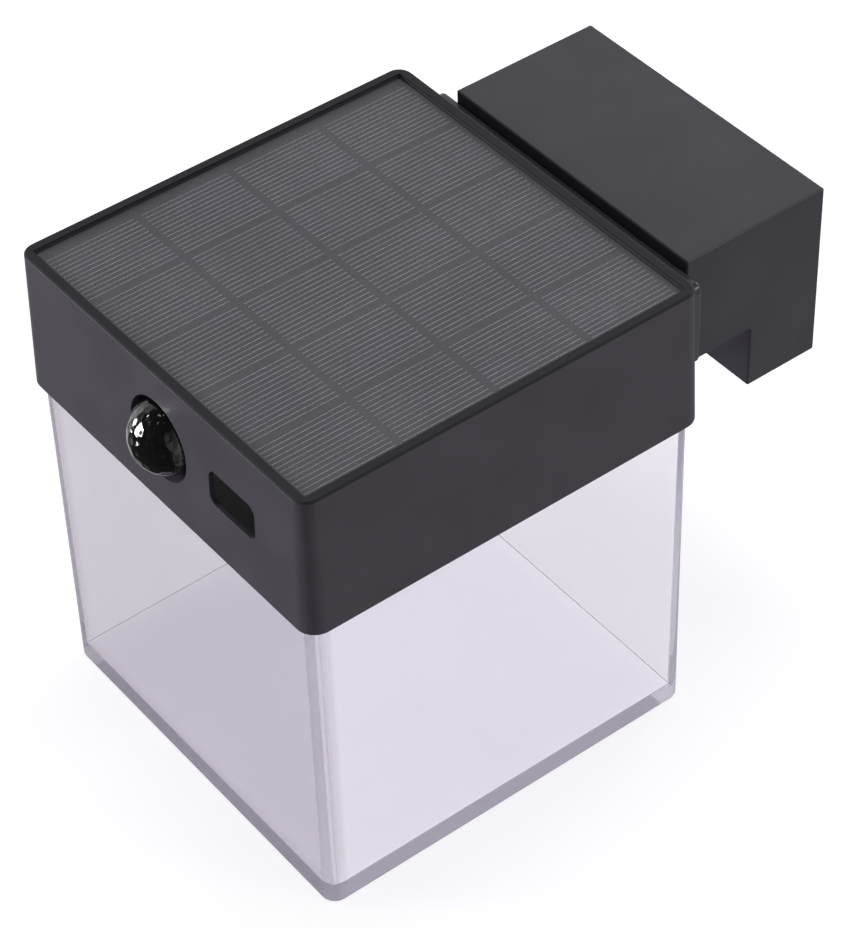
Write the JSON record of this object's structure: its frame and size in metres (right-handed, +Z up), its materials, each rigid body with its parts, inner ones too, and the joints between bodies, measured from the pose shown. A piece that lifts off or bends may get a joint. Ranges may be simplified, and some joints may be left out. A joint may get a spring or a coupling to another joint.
{
  "type": "solar fence light",
  "caption": "Box-shaped solar light with a dark cap, motion sensor, mode button and clear shade, on a bracket that hooks over the top edge of a fence board.",
  "frame": {"origin": "middle of the seat, the strip of the bracket's underside that rests on the fence board's top edge", "axes": "+Z up, +Y from the lamp towards the back of the fence, +X to the right when looking along +Y at the lamp's front"},
  "size_m": [0.1, 0.1487, 0.1176],
  "materials": {
    "dark_plastic": "fine satin mould texture",
    "bracket_plastic": "fine satin mould texture",
    "clear_plastic": "clear, polished",
    "lens_plastic": "polished, dark, passes infrared",
    "soft_button": "matt",
    "panel_resin": "clear, finely textured",
    "silicon": "dark with fine silver fingers",
    "panel_board": "matt",
    "circuit_board": "green solder mask",
    "white_plastic": "satin",
    "white_board": "white solder mask on metal",
    "light_chip": "yellow phosphor in white resin",
    "black_plastic": "matt",
    "zinc_screws": "zinc plated",
    "nickel_sheet": "nickel plated",
    "battery_sleeve": "shrink sleeve",
    "wire_sleeve": "satin",
    "foam_tape": "matt"
  },
  "bodies": {
    "lamp": {"top_housing": "dark_plastic", "panel_cover": "panel_resin", "solar_cells": "silicon", "panel_board": "panel_board", "panel_tape": "foam_tape", "panel_wires": "wire_sleeve", "motion_lens": "lens_plastic", "lens_retainer": "black_plastic", "motion_sensor": "nickel_sheet", "control_board": "circuit_board", "board_parts": "black_plastic", "board_screws": "zinc_screws", "tact_switch": "black_plastic", "battery_cell": "battery_sleeve", "battery_cradle": "black_plastic", "battery_contacts": "nickel_sheet", "battery_wires": "wire_sleeve", "base_plate": "white_plastic", "base_screws": "zinc_screws", "led_board": "white_board", "led_chips": "light_chip", "led_screws": "zinc_screws", "led_wires": "wire_sleeve", "shade": "clear_plastic", "shade_seal": "foam_tape", "mounting_plate": "bracket_plastic", "plate_screws": "zinc_screws", "fence_bracket": "bracket_plastic", "bracket_cover": "bracket_plastic", "bracket_screws": "zinc_screws"},
    "button": {"mode_button": "soft_button", "switch_plunger": "black_plastic"}
  },
  "joints": [
    {"name": "mode_button_press", "type": "slide", "parent": "lamp", "child": "button", "axis": [0, 1, 0], "range_m": [0, 0.0005], "stiffness_N_per_m": 4000, "springref_m": -0.0002}
  ]
}
